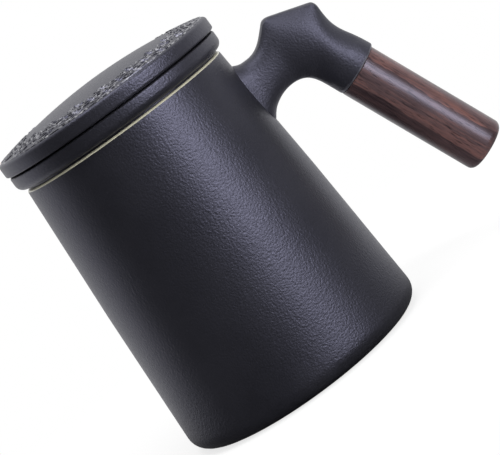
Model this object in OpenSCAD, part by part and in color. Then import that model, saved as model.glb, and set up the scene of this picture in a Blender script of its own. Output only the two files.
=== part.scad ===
// Lidded tea mug with a lift-out ceramic infuser and a side grip of turned wood.
// Millimetres, +Z up, origin on the cup's axis at the foot plane, handle along +X.

/* [Cup] */
// Height of the lip above the table
cup_h = 100.2; // [85:0.1:115]
// Widest outer diameter, just above the foot
cup_foot_d = 87.2; // [80:0.1:94]
// Outer diameter at the bend of the wall
cup_mid_d = 81.7; // [78:0.1:84]
// Height of the bend of the wall
cup_mid_z = 52.6; // [40:0.1:60]
// Outer diameter at the lip
cup_lip_d = 74.7; // [72.5:0.1:77]
// Rounding of the foot corner
cup_foot_round = 5.7; // [3:0.1:8]
// Wall thickness, level
cup_wall = 4.3; // [3.6:0.1:5]
// Thickness of the floor above the foot plane
cup_floor = 7; // [5:0.1:9]
// Rounding inside, between wall and floor
cup_inner_round = 9; // [5:0.1:12]
// Rounding of both lip edges
lip_round = 1.1; // [0.6:0.1:1.5]
// Diameter of the recess under the foot
foot_recess_d = 64; // [40:0.5:68]
// Depth of the recess under the foot
foot_recess = 1.6; // [0.8:0.1:2.4]

/* [Infuser] */
// Outer diameter of the flange
flange_d = 79.1; // [76.5:0.1:79.5]
// Height of the flange's top above the lip
flange_h = 6.2; // [5:0.1:8]
// Rounding of the flange's lower corner
flange_low_round = 2.6; // [1:0.1:3.4]
// Rounding of the flange's upper corner
flange_top_round = 0.8; // [0.4:0.1:1.2]
// Lift of the flange's outer part above the lip
flange_gap = 0.7; // [0.4:0.1:1.2]
// Gap round the basket's neck inside the cup's mouth
neck_gap = 0.6; // [0.4:0.05:0.9]
// Outer diameter of the basket at its floor
basket_low_d = 58; // [50:0.5:62]
// Depth of the basket below the lip
basket_depth = 62; // [50:0.5:70]
// Wall and floor thickness of the basket
basket_wall = 3; // [2.4:0.1:3.6]
// Rounding of the basket's lower corner
basket_round = 7; // [4:0.1:10]
// Rounding inside, between the basket's wall and floor
basket_inner_round = 5; // [2:0.1:8]
// Height of the basket's straight neck below the lip
neck_h = 12; // [8:0.5:16]
// Diameter of the strainer holes
hole_d = 2.4; // [1.6:0.1:3]
// Strainer holes in one row of the wall
wall_holes = 14; // [8:1:16]
// Rows of strainer holes in the wall
hole_rows = 4; // [2:1:4]
// Spacing of the rows up the wall
row_pitch = 7.5; // [5:0.1:9]
// Height of the lowest row above the basket's floor
row_start = 10; // [9:0.1:13]
// Spacing of the rings of holes in the floor
floor_pitch = 7.5; // [5:0.1:8.5]

/* [Lid] */
// Outer diameter of the lid
lid_d = 80.4; // [79:0.1:82.5]
// Height of the lid's side, up to where the dome would meet it
lid_side = 4.5; // [4:0.1:7]
// Rise of the dome above the side
lid_rise = 4.7; // [3:0.1:7]
// Rounding of the lid's upper edge
lid_top_round = 1.3; // [0.6:0.1:1.8]
// Rounding of the lid's lower edge
lid_low_round = 0.7; // [0.4:0.1:1]
// Height of the shadow gap between lid and flange
lid_gap = 0.5; // [0.3:0.1:0.8]
// Gap round the lid's locating rim inside the infuser
rim_gap = 0.6; // [0.4:0.05:0.9]
// Depth of the locating rim
rim_depth = 5; // [3:0.1:8]
// Wall thickness of the locating rim
rim_wall = 3; // [2:0.1:4]
// Rounding of the locating rim's lower edge
rim_round = 1; // [0.4:0.1:1.4]
// Thickness of the lid over its hollow
lid_thick = 5; // [4.5:0.1:6.5]
// Rounding at the top of the hollow
hollow_round = 2.5; // [1:0.1:4]

/* [Elbow] */
// Drop of the arm's top below the lip
arm_drop = 8; // [5.5:0.1:12]
// Height of the arm at its root, in the cup's wall
arm_root_h = 20.6; // [19:0.1:22]
// Height of the arm at its narrowest
arm_h = 14.6; // [13:0.1:17]
// Depth of the arm across the handle
arm_depth = 13.4; // [11:0.1:16]
// Length of the arm's level top
arm_flat = 4.7; // [3:0.1:6]
// Reach of the arched underside from the cup's wall
arch_out = 12.2; // [10:0.1:14]
// Reach of the peak from the cup's wall
peak_out = 16.4; // [15:0.1:19]
// Rise of the peak above the arm's top
peak_up = 7.7; // [4:0.1:9]
// Slope of the peak's flank towards the cup
flank_angle = 45.5; // [38:0.1:52]
// Reach of the brow from the cup's wall
brow_out = 33; // [32:0.1:35]
// Rise of the brow above the arm's top
brow_up = 2.5; // [0:0.1:3.5]
// Reach of the waist from the cup's wall
waist_out = 36.1; // [35:0.1:38]
// Drop of the waist below the arm's top
waist_drop = 11.9; // [10.5:0.1:14]
// Slope of the outer side at the waist
waist_angle = 58; // [50:0.5:66]
// Depth of the elbow across the handle at the peak
peak_depth = 16.4; // [13:0.1:19]
// Outer diameter of the collar
collar_d = 18.3; // [17.6:0.1:20]
// Length of the collar's straight side under the arch
collar_h = 4.4; // [3:0.1:6]
// Rounding of the collar's lower edge
collar_round = 0.6; // [0.3:0.1:1]
// Sideways set of the collar from the grip's axis
collar_set = 0.4; // [0:0.05:0.5]

/* [Grip] */
// Lean of the grip from upright
grip_lean = 23.5; // [18:0.5:27]
// Reach of the joint between collar and grip from the cup's wall
joint_out = 31.3; // [30.5:0.1:34]
// Drop of that joint below the arm's top
joint_drop = 23.3; // [22:0.1:25.5]
// Diameter of the wooden grip
grip_d = 17.4; // [15.6:0.1:17.6]
// Length of the wooden grip
grip_len = 49; // [44:0.5:56]
// Rounding of the grip's lower edge
grip_round = 2.3; // [0.8:0.1:2.6]
// Diameter of the screw
screw_d = 5; // [4:0.5:5]
// Reach of the screw beyond the joint, into the threaded sleeve
screw_in = 12; // [8:0.1:12.6]
// Diameter of the screw's head
head_d = 8.5; // [7:0.1:8.8]
// Height of the screw's head
head_h = 5; // [4:0.1:5.5]
// Width of the key socket across its flats
key_flats = 4; // [3:0.1:4.2]
// Depth of the key socket
key_depth = 2.6; // [1.5:0.1:2.8]
// Diameter of the washer
washer_d = 10; // [9:0.1:10.4]
// Thickness of the washer
washer_t = 1; // [0.8:0.1:1.4]
// Thickness of the wooden plug
plug_t = 6; // [4:0.1:7]
// Gap of a shaft or disc in its bore
bore_gap = 0.06; // [0.04:0.01:0.1]
// Depth of the blind socket in the collar
socket_depth = 17; // [16:0.1:18]
// Outer diameter of the threaded sleeve
sleeve_d = 8; // [7:0.1:8.4]
// Length of the threaded sleeve
sleeve_len = 13; // [10:0.1:14]
// Thickness of the resin round the sleeve
resin_t = 1; // [0.6:0.05:1.2]

/* [Hidden] */
$fn = 96;
over = 1; // how far a cutting shape runs past the face it cuts
blend = 0.004; // how far a rounded edge stands out of the surface it runs into
crown_flat = 0.01; // depth of the small flat at the dome's centre

// Colours
black_glaze = "#26262b";
lid_glaze = "#2b2b31";
resin_amber = "#b9a36a";
brass = "#b08d4a";
walnut = "#4a2f2b";
walnut_end = "#553731";
screw_grey = "#8f9296";
washer_grey = "#a3a6aa";

// Facets
dome_fn = 360;
hole_fn = 24;
hex_sides = 6;
bend_steps = 32; // sides of the elbow's cross-section
long_steps = 8; // steps along a long curve of the elbow
short_steps = 4; // steps round a corner of the elbow
collar_steps = 5; // steps along the collar

// Cup radii and heights
foot_r = cup_foot_d / 2;
mid_r = cup_mid_d / 2;
lip_r = cup_lip_d / 2;
wall_lean = atan2(mid_r - lip_r, cup_h - cup_mid_z);

// Infuser
seat_in = 0.4; // how far the seat ends inside the lip's rounding
seat_r = lip_r - lip_round - seat_in;
flange_r = flange_d / 2;
flange_z = cup_h + flange_h;
neck_r = lip_r - cup_wall - neck_gap;
mouth_r = neck_r - basket_wall;
basket_low_r = basket_low_d / 2;
basket_z = cup_h - basket_depth;
neck_z = cup_h - neck_h;
hole_rings = 3; // rings of holes in the floor, the middle one included
drill_r = basket_low_r - 2 * basket_wall; // where a wall hole starts, inside the basket

// Lid
lid_r = lid_d / 2;
lid_top_z = flange_z + lid_gap + lid_side;
dome_r = (lid_r * lid_r + lid_rise * lid_rise) / (2 * lid_rise);
dome_mid = [0, lid_top_z + lid_rise - dome_r];
dome_in = dome_r - lid_top_round;
edge_x = lid_r - lid_top_round;
edge_mid = [edge_x, dome_mid.y + sqrt(dome_in * dome_in - edge_x * edge_x)];
edge_out = edge_mid + (lid_top_round + over) * (edge_mid - dome_mid) / dome_in;
crown_z = lid_top_z + lid_rise - crown_flat;
rim_r = mouth_r - rim_gap;
rim_low = flange_z - rim_depth;
hollow_r = rim_r - rim_wall;
hollow_z = lid_top_z + lid_rise - lid_thick;

// Elbow outline, each point as [reach from the axis, height]
arm_z = cup_h - arm_drop;
root_r = wall_r(arm_z);
root_in = 3; // how far the elbow starts inside the cup's wall, where the cup cuts it off
root_step = 0.3; // where the underside's fillet starts, inside the cup's wall
root_rise = 0.4; // slope of the underside inside the wall
root_angle = 45; // slope of the underside's fillet
root_low = [root_r + root_step, arm_z - arm_root_h];
arm_bend = [root_r + arm_flat, arm_z];
peak = [root_r + peak_out, arm_z + peak_up];
brow = [root_r + brow_out, arm_z + brow_up];
waist = [root_r + waist_out, arm_z - waist_drop];
arch = [root_r + arch_out, arm_z - arm_h];
joint = [root_r + joint_out, arm_z - joint_drop];
along = [sin(grip_lean), -cos(grip_lean)];
across = [cos(grip_lean), sin(grip_lean)];
collar_mid = joint + collar_set * across;
collar_r = collar_d / 2;
collar_out = collar_mid + collar_r * across - collar_round * along;
collar_in = collar_mid - collar_r * across - collar_round * along;
throat = collar_in - collar_h * along;
slope = (brow - peak) / norm(brow - peak);
flank = [cos(flank_angle), sin(flank_angle)];
waist_dir = [cos(waist_angle), -sin(waist_angle)];

// How far the elbow's corners are rounded, before and after the point
peak_ease = [1.6, 2.5];
brow_ease = [1.8, 2.4];
peak_start = peak - peak_ease[0] * flank;
peak_end = peak + peak_ease[1] * slope;
brow_start = brow - brow_ease[0] * slope;
brow_end = brow - [0, brow_ease[1]];

// Lengths of the curves' handles
arm_pull = 4.5;
flank_pull = 5.6;
brow_pull = 5;
waist_pull = [5.1, 2.5]; // above and below the waist
collar_pull = 2.6;
root_pull = 5.8;
arch_pull = [4.2, 5.3]; // towards the cup and away from it
throat_pull = 4.9;

// Elbow's cross-section, as shares of its length
arm_share = 0.28; // the plain arm
peak_share = 0.6; // up to the peak's greatest depth
round_share = 0.7; // up to where the section is fully round
arm_square = 0.82; // power of the arm's rounded section, where 1 is an ellipse

// Grip
grip_r = grip_d / 2;
screw_r = screw_d / 2;
washer_r = washer_d / 2;
pocket_r = washer_r + 2 * bore_gap;
head_t = grip_len - plug_t - head_h;
washer_at = head_t - washer_t;
screw_len = head_t + screw_in;
sleeve_r = sleeve_d / 2;
joint_inset = 0.4; // how far the resin and the sleeve lie below the collar's face
sleeve_at = -joint_inset - sleeve_len;
socket_r = sleeve_r + resin_t;

// Outer radius of the cup's wall at height z
function wall_r(z) = z > cup_mid_z
    ? mid_r + (lip_r - mid_r) * (z - cup_mid_z) / (cup_h - cup_mid_z)
    : foot_r + (mid_r - foot_r) * (z - cup_foot_round) / (cup_mid_z - cup_foot_round);

// Angle on the circle (c, r) where a line from p touches it, on the side given
function touch(c, r, p, side) = atan2(p.y - c.y, p.x - c.x) + side * acos(r / norm(p - c));
function on_circle(c, r, a) = c + r * [cos(a), sin(a)];

// Centre of a circle of radius r in the corner of a leaning wall and a level top.
// The wall passes through p with lean angle s; side is -1 inside the wall's line, 1 outside.
function corner(p, s, r, side) = [p.x + r * tan(s) + side * r / cos(s), p.y - r];

// Points at share t of a curve from a to its last point, drawn towards those between
function curve3(a, b, c, d, t) =
    a * pow(1 - t, 3) + b * 3 * t * pow(1 - t, 2) + c * 3 * t * t * (1 - t) + d * pow(t, 3);
function curve2(a, b, c, t) = a * pow(1 - t, 2) + b * 2 * t * (1 - t) + c * t * t;

// Power that keeps its sign
function power(v, p) = sign(v) * pow(abs(v), p);

// Outline of a bowl shape with a rounded lower corner
module bowl(low_r, mid, top, z0, r) {
    c = [low_r - r, z0 + r];
    t = on_circle(c, r - blend, touch(c, r, mid, -1));
    polygon([[0, z0], [c.x, z0], c, t, mid, top, [0, top.y]]);
    translate(c)
        circle(r);
}

module cup_outline() {
    c = corner([lip_r, cup_h], wall_lean, lip_round, -1);
    t = on_circle(c, lip_round, wall_lean);
    bowl(foot_r, [mid_r, cup_mid_z], t, 0, cup_foot_round);
    polygon([[0, t.y - over], [c.x, t.y - over], t, c, [c.x, cup_h], [0, cup_h]]);
    translate(c)
        circle(lip_round);
}

module mug_body() {
    c = corner([lip_r - cup_wall, cup_h], wall_lean, lip_round, 1);
    t = on_circle(c, lip_round, 180 + wall_lean);
    color(black_glaze)
    rotate_extrude() {
        difference() {
            cup_outline();
            bowl(foot_r - cup_wall, [mid_r - cup_wall, cup_mid_z], t, cup_floor, cup_inner_round);
            polygon([[0, t.y - over], [t.x - over, t.y - over], t, c, [c.x, cup_h + over],
                     [0, cup_h + over]]);
            square([foot_recess_d / 2, foot_recess]);
        }
        translate(c)
            circle(lip_round);
    }
}

// Shares 0, 1/n, 2/n ... of a stretch, without its end
function shares(n) = [for (i = [0 : n - 1]) i / n];

// From a to b with a level start and end
function ease(a, b, t) = a + (b - a) * (1 - cos(180 * t)) / 2;

// Elbow: sections that run from the underside curve to the outer curve
function outer_curve() = concat(
    [[root_r - root_in, arm_z]],
    [for (t = shares(long_steps))
        curve3(arm_bend, arm_bend + [arm_pull, 0], peak_start - flank_pull * flank, peak_start, t)],
    [for (t = shares(short_steps)) curve2(peak_start, peak, peak_end, t)],
    [for (t = shares(short_steps)) peak_end + t * (brow_start - peak_end)],
    [for (t = shares(short_steps)) curve2(brow_start, brow, brow_end, t)],
    [for (t = shares(long_steps))
        curve3(brow_end, brow_end - [0, brow_pull], waist - waist_pull[0] * waist_dir, waist, t)],
    [for (t = shares(collar_steps))
        curve3(waist, waist + waist_pull[1] * waist_dir, collar_out - collar_pull * along,
               collar_out, t)],
    [collar_out]);

function inner_curve() = concat(
    [root_low - (root_in + root_step) * [1, root_rise]],
    [for (t = shares(long_steps))
        curve3(root_low, root_low + root_pull * [cos(root_angle), sin(root_angle)],
               arch - [arch_pull[0], 0], arch, t)],
    [for (t = shares(long_steps + 3 * short_steps))
        curve3(arch, arch + [arch_pull[1], 0], throat - throat_pull * along, throat, t)],
    [for (t = shares(collar_steps)) throat + t * (collar_in - throat)],
    [collar_in]);

// Half depth of the elbow across the handle, and how square it is, at a share of its length
function half_depth(s) = s < peak_share
    ? ease(arm_depth, peak_depth, max(0, s - arm_share) / (peak_share - arm_share)) / 2
    : ease(peak_depth, collar_d, (s - peak_share) / (1 - peak_share)) / 2;
function squareness(s) = arm_square + (1 - arm_square) * min(1, s / round_share);

// Rounded cross-section between points a and b, w deep on each side
function section(a, b, w, p) =
    let (m = (a + b) / 2, h = (a - b) / 2)
    [for (i = [0 : bend_steps - 1])
        let (q = 360 * i / bend_steps, f = power(cos(q), p), y = w * power(sin(q), p))
        [m.x + h.x * f, y, m.y + h.y * f]];

module elbow_solid() {
    a = outer_curve();
    b = inner_curve();
    n = len(a);
    end = [collar_mid + (collar_r - collar_round) * across,
           collar_mid - (collar_r - collar_round) * across];
    rings = concat(
        [for (i = [0 : n - 1]) section(a[i], b[i], half_depth(i / (n - 1)), squareness(i / (n - 1)))],
        [section(end[0], end[1], collar_r - collar_round, 1)]);
    m = len(rings);
    s = bend_steps;
    polyhedron(
        points = [for (r = rings) each r],
        faces = concat(
            [[for (i = [s - 1 : -1 : 0]) i]],
            [[for (i = [0 : s - 1]) (m - 1) * s + i]],
            [for (k = [0 : m - 2], i = [0 : s - 1])
                [k * s + i, k * s + (i + 1) % s, k * s + s + i]],
            [for (k = [0 : m - 2], i = [0 : s - 1])
                [k * s + (i + 1) % s, k * s + s + (i + 1) % s, k * s + s + i]]));
}

// Local frame of the grip: origin at the joint, +Z down along the grip
module at_joint() {
    translate([joint.x, 0, joint.y])
        rotate([0, 180 - grip_lean, 0])
            children();
}

module handle_elbow() {
    color(black_glaze)
    difference() {
        elbow_solid();
        rotate_extrude()
            cup_outline();
        at_joint()
            translate([0, 0, -socket_depth])
                cylinder(r = socket_r, h = socket_depth + over);
    }
}

module anchor_resin() {
    color(resin_amber)
    at_joint()
        difference() {
            translate([0, 0, -socket_depth])
                cylinder(r = socket_r, h = socket_depth - joint_inset);
            translate([0, 0, sleeve_at])
                cylinder(r = sleeve_r, h = sleeve_len + over);
        }
}

module anchor_sleeve() {
    color(brass)
    at_joint()
        translate([0, 0, sleeve_at])
            difference() {
                cylinder(r = sleeve_r, h = sleeve_len);
                translate([0, 0, -over])
                    cylinder(r = screw_r + bore_gap, h = sleeve_len + 2 * over);
            }
}

module wood_grip() {
    color(walnut)
    at_joint()
        difference() {
            rotate_extrude() {
                square([grip_r, grip_len - grip_round]);
                square([grip_r - grip_round, grip_len]);
                translate([grip_r - grip_round, grip_len - grip_round])
                    circle(grip_round);
            }
            translate([0, 0, -over])
                cylinder(r = screw_r + bore_gap, h = grip_len);
            translate([0, 0, washer_at])
                cylinder(r = pocket_r, h = grip_len);
        }
}

module grip_screw() {
    color(screw_grey)
    at_joint()
        difference() {
            union() {
                translate([0, 0, head_t])
                    cylinder(d = head_d, h = head_h);
                translate([0, 0, head_t - screw_len])
                    cylinder(r = screw_r, h = screw_len);
            }
            translate([0, 0, head_t + head_h - key_depth])
                cylinder(d = key_flats / cos(180 / hex_sides), h = key_depth + over, $fn = hex_sides);
        }
}

module grip_washer() {
    color(washer_grey)
    at_joint()
        translate([0, 0, washer_at])
            difference() {
                cylinder(r = washer_r, h = washer_t);
                translate([0, 0, -over])
                    cylinder(r = screw_r + bore_gap, h = washer_t + 2 * over);
            }
}

module grip_plug() {
    color(walnut_end)
    at_joint()
        translate([0, 0, grip_len - plug_t])
            cylinder(r = pocket_r - bore_gap / 2, h = plug_t);
}

module infuser_outline() {
    low_c = [flange_r - flange_low_round, cup_h + flange_gap + flange_low_round];
    top_c = [flange_r - flange_top_round, flange_z - flange_top_round];
    // flange
    polygon([[0, cup_h + flange_gap], [low_c.x, cup_h + flange_gap], low_c, [flange_r, low_c.y],
             [flange_r, top_c.y], top_c, [top_c.x, flange_z], [0, flange_z]]);
    translate(low_c)
        circle(flange_low_round);
    translate(top_c)
        circle(flange_top_round);
    // seat on the lip
    translate([0, cup_h])
        square([seat_r, flange_gap + over]);
    // basket
    bowl(basket_low_r, [neck_r, neck_z], [neck_r, cup_h + over], basket_z, basket_round);
}

module infuser_hollow() {
    bowl(basket_low_r - basket_wall, [mouth_r, neck_z], [mouth_r, flange_z + over],
         basket_z + basket_wall, basket_inner_round);
}

module strainer_holes() {
    for (row = [0 : hole_rows - 1])
        for (i = [0 : wall_holes - 1])
            rotate([0, 0, 360 * (i + row / 2) / wall_holes])
                translate([drill_r, 0, basket_z + row_start + row * row_pitch])
                    rotate([0, 90, 0])
                        cylinder(d = hole_d, h = neck_r + over - drill_r, $fn = hole_fn);
    for (ring = [0 : hole_rings - 1]) {
        count = max(1, 6 * ring);
        for (i = [0 : count - 1])
            rotate([0, 0, 360 * i / count])
                translate([ring * floor_pitch, 0, basket_z - over])
                    cylinder(d = hole_d, h = basket_wall + 2 * over, $fn = hole_fn);
    }
}

module infuser() {
    color(black_glaze)
    difference() {
        rotate_extrude()
            difference() {
                infuser_outline();
                infuser_hollow();
            }
        strainer_holes();
    }
}

module lid_outline() {
    low_z = flange_z + lid_gap;
    low_c = [lid_r - lid_low_round, low_z + lid_low_round];
    polygon([[0, low_z], [low_c.x, low_z], low_c, [lid_r, low_c.y], [lid_r, edge_mid.y],
             edge_mid, [0, edge_mid.y]]);
    translate(low_c)
        circle(lid_low_round);
    translate(edge_mid)
        circle(lid_top_round);
    // dome
    intersection() {
        translate(dome_mid)
            circle(dome_r - blend, $fn = dome_fn);
        polygon([[0, edge_mid.y], edge_mid, edge_out, [edge_out.x, crown_z], [0, crown_z]]);
    }
    // seat on the flange
    translate([0, flange_z])
        square([seat_r, lid_gap + over]);
    // locating rim
    translate([0, rim_low + rim_round])
        square([rim_r, rim_depth + lid_gap]);
    translate([0, rim_low])
        square([rim_r - rim_round, rim_depth]);
    translate([rim_r - rim_round, rim_low + rim_round])
        circle(rim_round);
}

module lid_hollow() {
    low = rim_low - over;
    translate([0, low])
        square([hollow_r, hollow_z - hollow_round - low]);
    translate([0, low])
        square([hollow_r - hollow_round, hollow_z - low]);
    translate([hollow_r - hollow_round, hollow_z - hollow_round])
        circle(hollow_round);
}

module lid() {
    color(lid_glaze)
    rotate_extrude()
        difference() {
            lid_outline();
            lid_hollow();
        }
}

mug_body();
handle_elbow();
infuser();
lid();
wood_grip();
grip_plug();
grip_screw();
grip_washer();
anchor_sleeve();
anchor_resin();
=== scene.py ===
import math
import bpy
import bmesh
from mathutils import Euler, Matrix, Vector
from mathutils.geometry import interpolate_bezier


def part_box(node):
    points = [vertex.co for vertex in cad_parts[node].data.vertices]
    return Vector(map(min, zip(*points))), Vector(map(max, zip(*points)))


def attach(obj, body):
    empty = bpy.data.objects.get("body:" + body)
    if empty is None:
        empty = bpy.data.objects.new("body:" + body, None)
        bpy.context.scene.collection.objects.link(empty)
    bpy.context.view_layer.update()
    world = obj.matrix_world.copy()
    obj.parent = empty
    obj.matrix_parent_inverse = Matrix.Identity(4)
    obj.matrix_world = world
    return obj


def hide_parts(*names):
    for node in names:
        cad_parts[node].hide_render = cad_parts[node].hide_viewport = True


bl_info = {
    "name": "Lidded tea mug with infuser",
    "version": (1, 0, 0),
    "blender": (4, 5, 0),
    "location": "3D View > Sidebar > Tea mug",
    "description": "Dresses a stoneware tea mug with an infuser, a domed lid and a walnut grip",
    "category": "Object",
}

MM = 0.001
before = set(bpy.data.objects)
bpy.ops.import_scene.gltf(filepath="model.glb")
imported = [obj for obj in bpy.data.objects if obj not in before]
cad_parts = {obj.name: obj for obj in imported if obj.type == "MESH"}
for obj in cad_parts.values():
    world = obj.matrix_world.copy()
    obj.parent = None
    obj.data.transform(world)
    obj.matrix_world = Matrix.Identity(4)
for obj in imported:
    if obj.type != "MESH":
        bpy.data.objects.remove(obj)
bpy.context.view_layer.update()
cup_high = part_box("mug_body")[1]
infuser_low, infuser_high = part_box("infuser")
lid_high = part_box("lid")[1]


# ---------------- small helpers

def linear(hex_colour):
    """An sRGB hex colour as linear red, green and blue."""
    out = []
    for i in (1, 3, 5):
        c = int(hex_colour[i:i + 2], 16) / 255
        out.append(c / 12.92 if c <= 0.04045 else ((c + 0.055) / 1.055) ** 2.4)
    return tuple(out)


def length(name, description, default, low, high):
    return bpy.props.FloatProperty(name=name, description=description, default=default * MM,
                                   min=low * MM, max=high * MM, subtype="DISTANCE", unit="LENGTH",
                                   precision=5)


def angle(name, description, default, low, high):
    return bpy.props.FloatProperty(name=name, description=description, default=math.radians(default),
                                   min=math.radians(low), max=math.radians(high), subtype="ANGLE")


def number(name, description, default, low, high):
    return bpy.props.IntProperty(name=name, description=description, default=default,
                                 min=low, max=high)


def colour(name, description, default):
    return bpy.props.FloatVectorProperty(name=name, description=description, default=linear(default),
                                         size=3, min=0, max=1, subtype="COLOR")


# ---------------- sizes and colours

class CupSizes(bpy.types.PropertyGroup):
    mid_diameter: length("Bend diameter", "Outer diameter at the bend of the wall", 81.7, 78, 84)
    mid_height: length("Bend height", "Height of the bend of the wall", 52.6, 40, 60)
    lip_diameter: length("Lip diameter", "Outer diameter at the lip", 74.7, 72.5, 77)
    wall: length("Wall", "Thickness of the wall", 4.3, 3.6, 5)
    floor: length("Floor", "Height of the inside floor above the table", 7, 5, 9)
    foot_round: length("Foot rounding", "Rounding of the foot corner", 5.7, 3, 8)
    inner_round: length("Inner rounding", "Rounding between the wall and the floor inside", 9, 5, 12)
    lip_round: length("Lip rounding", "Rounding of both lip edges", 1.1, 0.6, 1.5)
    recess_diameter: length("Recess diameter", "Diameter of the recess under the foot", 64, 40, 68)
    recess_depth: length("Recess depth", "Depth of the recess under the foot", 1.6, 0.8, 2.4)


class InfuserSizes(bpy.types.PropertyGroup):
    flange_lift: length("Flange lift", "Gap between the lip and the flange", 0.7, 0.4, 1.2)
    flange_low_round: length("Lower rounding", "Rounding of the flange's lower corner", 2.6, 1, 3.4)
    flange_top_round: length("Upper rounding", "Rounding of the flange's top corner", 0.8, 0.4, 1.2)
    seat_inset: length("Seat inset", "Distance of the seat's edge from the lip's outside", 1.5, 1, 3)
    neck_gap: length("Neck gap", "Gap round the neck in the cup's mouth", 0.6, 0.4, 0.9)
    neck_height: length("Neck height", "Height of the straight neck below the lip", 12, 8, 16)
    low_diameter: length("Basket diameter", "Outer diameter of the basket at its floor", 58, 50, 62)
    wall: length("Wall", "Thickness of the basket's wall and floor", 3, 2.4, 3.6)
    low_round: length("Outer rounding", "Rounding of the basket's lower corner", 7, 4, 10)
    inner_round: length("Inner rounding", "Rounding inside the basket's lower corner", 5, 2, 8)
    hole_diameter: length("Hole diameter", "Diameter of a strainer hole", 2.4, 1.6, 3)
    hole_count: number("Holes in a row", "Strainer holes in one row", 14, 8, 16)
    hole_rows: number("Rows", "Rows of strainer holes in the wall", 4, 2, 4)
    row_pitch: length("Row pitch", "Distance between two rows of holes", 7.5, 5, 9)
    row_start: length("First row", "Height of the lowest row above the underside", 10, 9, 13)


class LidSizes(bpy.types.PropertyGroup):
    rise: length("Dome rise", "Rise of the dome above the side", 4.7, 3, 7)
    lift: length("Lid lift", "Height of the shadow gap over the flange", 0.5, 0.3, 0.8)
    top_round: length("Upper rounding", "Rounding of the lid's upper edge", 1.3, 0.6, 1.8)
    low_round: length("Lower rounding", "Rounding of the lid's lower edge", 0.7, 0.4, 1)
    rim_gap: length("Rim gap", "Gap round the locating rim", 0.6, 0.4, 0.9)
    rim_depth: length("Rim depth", "Depth of the locating rim", 5, 3, 8)
    rim_wall: length("Rim wall", "Thickness of the locating rim", 3, 2, 4)
    thickness: length("Thickness", "Thickness of the lid over its hollow", 5, 4.5, 6.5)
    wave_inner: length("Inner ring", "Radius at which the wave pattern starts", 27.4, 10, 32)
    wave_outer: length("Outer ring", "Radius at which the wave pattern ends", 38.3, 32, 39)
    wave_height: length("Relief", "Height of the raised wave lines", 0.36, 0.2, 0.8)
    wave_count: number("Waves in a ring", "Waves in one ring", 18, 12, 40)


class HandleSizes(bpy.types.PropertyGroup):
    arm_drop: length("Arm drop", "Drop of the arm's top below the lip", 8, 5.5, 12)
    arm_root_height: length("Root height", "Height of the arm at its root in the wall", 20.6, 19, 22)
    arm_height: length("Arm height", "Height of the arm at its narrowest", 14.6, 13, 17)
    arm_flat: length("Level top", "Length of the arm's level top", 4.7, 3, 6)
    arm_depth: length("Arm depth", "Depth of the arm across the handle", 13.4, 11, 16)
    peak_depth: length("Peak depth", "Depth of the elbow at its peak", 16.4, 13, 19)
    arch_out: length("Arch reach", "Reach of the arched underside from the cup's wall", 12.2, 10, 14)
    peak_out: length("Peak reach", "Reach of the peak from the cup's wall", 16.4, 15, 19)
    peak_up: length("Peak rise", "Rise of the peak above the arm's top", 7.7, 4, 9)
    flank_angle: angle("Flank slope", "Slope of the peak's flank towards the cup", 45.5, 38, 52)
    brow_out: length("Brow reach", "Reach of the brow from the cup's wall", 33, 32, 35)
    brow_up: length("Brow rise", "Rise of the brow above the arm's top", 2.5, 0, 3.5)
    waist_out: length("Waist reach", "Reach of the waist from the cup's wall", 36.1, 35, 38)
    waist_drop: length("Waist drop", "Drop of the waist below the arm's top", 11.9, 10.5, 14)
    waist_angle: angle("Waist slope", "Slope of the outer side at the waist", 58, 50, 66)
    fillet: length("Fillet", "Reach of the fillet where the arm meets the cup", 3.4, 1, 5)
    flare: length("Flare", "Growth of the arm's half depth at the cup", 1.9, 0, 4)
    flare_length: length("Flare length", "Reach of that growth from the cup", 15, 6, 20)
    collar_diameter: length("Collar diameter", "Outer diameter of the collar", 18.3, 17.6, 20)
    collar_height: length("Collar height", "Straight side of the collar under the arch", 4.4, 3, 6)
    collar_round: length("Collar rounding", "Rounding of the collar's lower edge", 0.6, 0.3, 1)
    collar_set: length("Collar set", "Sideways set of the collar from the grip's axis", 0.4, 0, 0.5)
    joint_out: length("Joint reach", "Reach of the joint from the cup's wall", 31.3, 30.5, 34)
    joint_drop: length("Joint drop", "Drop of the joint below the arm's top", 23.3, 22, 25.5)
    grip_lean: angle("Grip lean", "Lean of the grip from upright", 23.5, 18, 27)
    grip_diameter: length("Grip diameter", "Diameter of the wooden grip", 17.4, 15.6, 17.6)
    grip_length: length("Grip length", "Length of the wooden grip", 49, 44, 56)
    grip_round: length("Grip rounding", "Rounding of the grip's lower edge", 2.3, 0.8, 2.6)
    pocket_diameter: length("Pocket diameter", "Diameter of the pocket at its end", 10.24, 9, 11)
    bore_diameter: length("Bore diameter", "Diameter of the screw's bore", 5.12, 4.1, 5.2)
    head_room: length("Head room", "Depth for the screw's head and washer", 6, 5, 7)
    plug_thickness: length("Plug thickness", "Thickness of the wooden plug", 6, 4, 7)


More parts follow.
